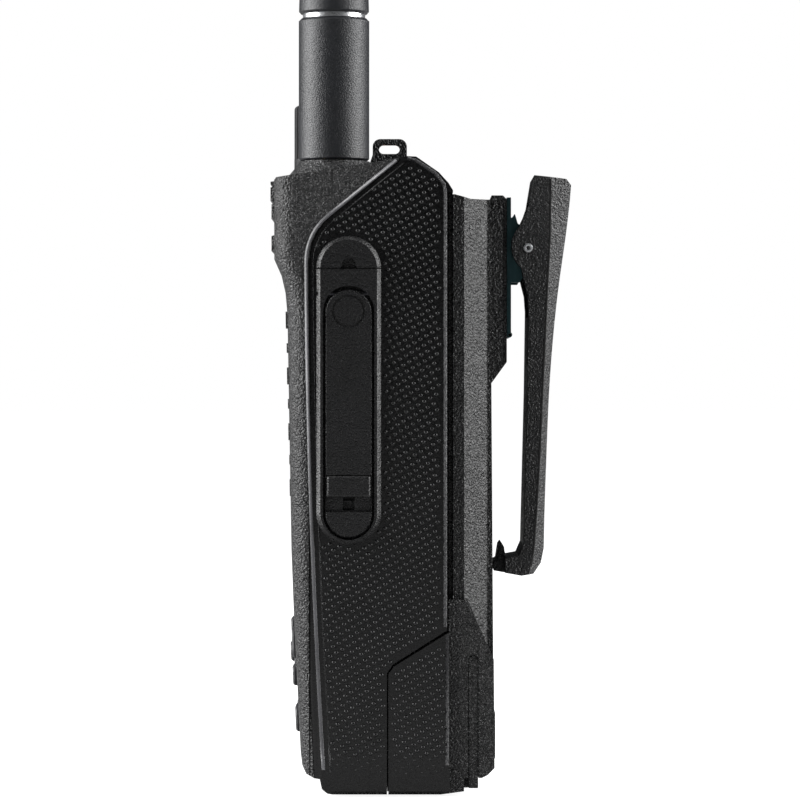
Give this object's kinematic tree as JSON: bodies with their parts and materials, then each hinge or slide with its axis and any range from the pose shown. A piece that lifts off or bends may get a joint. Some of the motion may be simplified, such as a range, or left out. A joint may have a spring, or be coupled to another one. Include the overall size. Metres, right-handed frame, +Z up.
{
  "type": "walkie talkie",
  "caption": "Handheld professional two-way radio with a screw-on whip antenna, slide-off battery, spring belt clip, side talk key and covered accessory connector",
  "frame": {"origin": "on the underside of the chassis, on the centre plane of the radio, level with the middle of its depth without the battery", "axes": "+Z up along the antenna, -Y the front with the display and keys, +Y the battery and belt clip, +X the accessory connector side"},
  "size_m": [0.0594, 0.0622, 0.232],
  "materials": {
    "housing_black": "fine leather grain",
    "grip_black": "satin, with a moulded dot grip",
    "seal_rubber": "matte",
    "lens_clear": "clear, polished",
    "display_panel": "dark display glass",
    "grille_black": "satin",
    "driver_black": "black",
    "membrane_rubber": "matte grey",
    "sheet_steel": "bright",
    "cast_aluminium": "as cast",
    "board_green": "solder mask",
    "insulator_black": "matte",
    "bezel_black": "fine grain with a polished rim",
    "gold_contacts": "gold plated",
    "turned_brass": "turned",
    "antenna_rubber": "fine matte",
    "ring_silver": "satin silver",
    "knob_black": "satin",
    "safety_orange": "satin orange",
    "button_rubber": "matte",
    "key_rubber": "matte dark grey",
    "cover_black": "fine grain",
    "battery_black": "satin",
    "cell_can": "wrapped cell",
    "clip_black": "fine grain",
    "clip_steel": "dark blue-green coated steel"
  },
  "bodies": {
    "housing": {"front_housing": "housing_black", "rear_chassis": "grip_black", "main_seal": "seal_rubber", "display_lens": "lens_clear", "display_module": "display_panel", "speaker_grille": "grille_black", "speaker_driver": "driver_black", "keypad_membrane": "membrane_rubber", "microphone": "sheet_steel", "cast_frame": "cast_aluminium", "main_board": "board_green", "rf_shields": "sheet_steel", "led_window": "lens_clear", "chassis_screws": "sheet_steel", "battery_spring_contacts": "insulator_black", "connector_frame": "bezel_black", "contact_carrier": "insulator_black", "accessory_contacts": "gold_contacts", "cover_pin": "sheet_steel", "ptt_bezel": "bezel_black", "side_switch_board": "board_green", "channel_switch": "sheet_steel", "volume_switch": "sheet_steel", "strap_loop": "housing_black", "antenna_socket": "turned_brass"},
    "antenna_thread": {"antenna_stud": "turned_brass"},
    "antenna": {"antenna_sleeve": "antenna_rubber", "antenna_id_ring": "ring_silver", "antenna_whip": "antenna_rubber"},
    "channel_control": {"channel_knob": "knob_black", "channel_shaft": "turned_brass"},
    "volume_control": {"volume_knob": "knob_black", "volume_shaft": "turned_brass"},
    "emergency": {"emergency_button": "safety_orange"},
    "talk": {"ptt_button": "button_rubber"},
    "side_top": {"side_button_top": "button_rubber"},
    "side_upper": {"side_button_upper": "button_rubber"},
    "side_lower": {"side_button_lower": "button_rubber"},
    "cover": {"dust_cover": "cover_black"},
    "cover_catch": {"cover_latch": "cover_black"},
    "battery": {"battery_case": "grip_black", "battery_cover_plate": "battery_black", "battery_cells": "cell_can", "battery_board": "board_green", "battery_contacts": "gold_contacts"},
    "battery_catch": {"battery_latch": "battery_black"},
    "clip_slider": {"clip_carriage": "clip_black", "clip_bracket": "clip_steel", "clip_pin": "sheet_steel", "clip_torsion_spring": "sheet_steel"},
    "clip_arm": {"clip_lever": "clip_black"},
    "key_up_body": {"key_up": "key_rubber"},
    "key_down_body": {"key_down": "key_rubber"},
    "key_left_body": {"key_left": "key_rubber"},
    "key_right_body": {"key_right": "key_rubber"},
    "key_ok_body": {"key_ok": "key_rubber"},
    "key_menu_body": {"key_menu": "key_rubber"},
    "key_back_body": {"key_back": "key_rubber"},
    "key_program_1_body": {"key_program_1": "key_rubber"},
    "key_program_2_body": {"key_program_2": "key_rubber"}
  },
  "joints": [
    {"name": "antenna_turn", "type": "hinge", "parent": "antenna_thread", "child": "antenna", "pos_m": [0.0145, -0.01, 0.1302], "axis": [0, 0, 1], "range_deg": [0, 2736]},
    {"name": "antenna_lift", "type": "slide", "parent": "housing", "child": "antenna_thread", "axis": [0, 0, 1], "range_m": [0, 0.0076]},
    {"name": "channel_turn", "type": "hinge", "parent": "housing", "child": "channel_control", "pos_m": [-0.0025, -0.0112, 0.129], "axis": [0, 0, -1], "range_deg": [0, 337.5]},
    {"name": "volume_turn", "type": "hinge", "parent": "housing", "child": "volume_control", "pos_m": [-0.018, -0.0109, 0.129], "axis": [0, 0, -1], "range_deg": [0, 300]},
    {"name": "emergency_press", "type": "slide", "parent": "housing", "child": "emergency", "axis": [0, 0, -1], "range_m": [0, 0.001], "stiffness_N_per_m": 900, "springref_m": -0.001},
    {"name": "talk_press", "type": "slide", "parent": "housing", "child": "talk", "axis": [1, 0, 0], "range_m": [0, 0.001], "stiffness_N_per_m": 1500, "springref_m": -0.001},
    {"name": "side_top_press", "type": "slide", "parent": "housing", "child": "side_top", "axis": [1, 0, 0], "range_m": [0, 0.0006], "stiffness_N_per_m": 1500, "springref_m": -0.001},
    {"name": "side_upper_press", "type": "slide", "parent": "housing", "child": "side_upper", "axis": [1, 0, 0], "range_m": [0, 0.0006], "stiffness_N_per_m": 1500, "springref_m": -0.001},
    {"name": "side_lower_press", "type": "slide", "parent": "housing", "child": "side_lower", "axis": [1, 0, 0], "range_m": [0, 0.0006], "stiffness_N_per_m": 1500, "springref_m": -0.001},
    {"name": "key_up_press", "type": "slide", "parent": "housing", "child": "key_up_body", "axis": [0, 0.9988, 0.0486], "range_m": [0, 0.0005], "stiffness_N_per_m": 1500, "springref_m": -0.0008},
    {"name": "key_down_press", "type": "slide", "parent": "housing", "child": "key_down_body", "axis": [0, 0.9988, 0.0486], "range_m": [0, 0.0005], "stiffness_N_per_m": 1500, "springref_m": -0.0008},
    {"name": "key_left_press", "type": "slide", "parent": "housing", "child": "key_left_body", "axis": [0, 0.9988, 0.0486], "range_m": [0, 0.0005], "stiffness_N_per_m": 1500, "springref_m": -0.0008},
    {"name": "key_right_press", "type": "slide", "parent": "housing", "child": "key_right_body", "axis": [0, 0.9988, 0.0486], "range_m": [0, 0.0005], "stiffness_N_per_m": 1500, "springref_m": -0.0008},
    {"name": "key_ok_press", "type": "slide", "parent": "housing", "child": "key_ok_body", "axis": [0, 0.9988, 0.0486], "range_m": [0, 0.0005], "stiffness_N_per_m": 1500, "springref_m": -0.0008},
    {"name": "key_menu_press", "type": "slide", "parent": "housing", "child": "key_menu_body", "axis": [0, 0.9988, 0.0486], "range_m": [0, 0.0005], "stiffness_N_per_m": 1500, "springref_m": -0.0008},
    {"name": "key_back_press", "type": "slide", "parent": "housing", "child": "key_back_body", "axis": [0, 0.9988, 0.0486], "range_m": [0, 0.0005], "stiffness_N_per_m": 1500, "springref_m": -0.0008},
    {"name": "key_program_1_press", "type": "slide", "parent": "housing", "child": "key_program_1_body", "axis": [0, 0.9988, 0.0486], "range_m": [0, 0.0005], "stiffness_N_per_m": 1500, "springref_m": -0.0008},
    {"name": "key_program_2_press", "type": "slide", "parent": "housing", "child": "key_program_2_body", "axis": [0, 0.9988, 0.0486], "range_m": [0, 0.0005], "stiffness_N_per_m": 1500, "springref_m": -0.0008},
    {"name": "cover_swing", "type": "hinge", "parent": "housing", "child": "cover", "pos_m": [0.0278, -0.0068, 0.1023], "axis": [0, -1, 0], "range_deg": [0, 70]},
    {"name": "cover_latch_slide", "type": "slide", "parent": "cover", "child": "cover_catch", "axis": [0, 0, -1], "range_m": [0, 0.0025], "stiffness_N_per_m": 200, "springref_m": -0.0015},
    {"name": "battery_slide", "type": "slide", "parent": "housing", "child": "battery", "axis": [0, 0, -1], "range_m": [0, 0.008]},
    {"name": "battery_latch_slide", "type": "slide", "parent": "battery", "child": "battery_catch", "axis": [0, 0, -1], "range_m": [0, 0.0025], "stiffness_N_per_m": 800, "springref_m": -0.001},
    {"name": "clip_carriage_slide", "type": "slide", "parent": "battery", "child": "clip_slider", "axis": [0, 0, 1], "range_m": [0, 0.04]},
    {"name": "clip_swing", "type": "hinge", "parent": "clip_slider", "child": "clip_arm", "pos_m": [0, 0.0303, 0.1122], "axis": [1, 0, 0], "range_deg": [0, 15], "stiffness_Nm_per_rad": 0.32, "springref_deg": -17.19}
  ],
  "couplings": [
    {"joint": "antenna_turn", "follows": "antenna_lift", "rad_per_m": 6283.2}
  ]
}
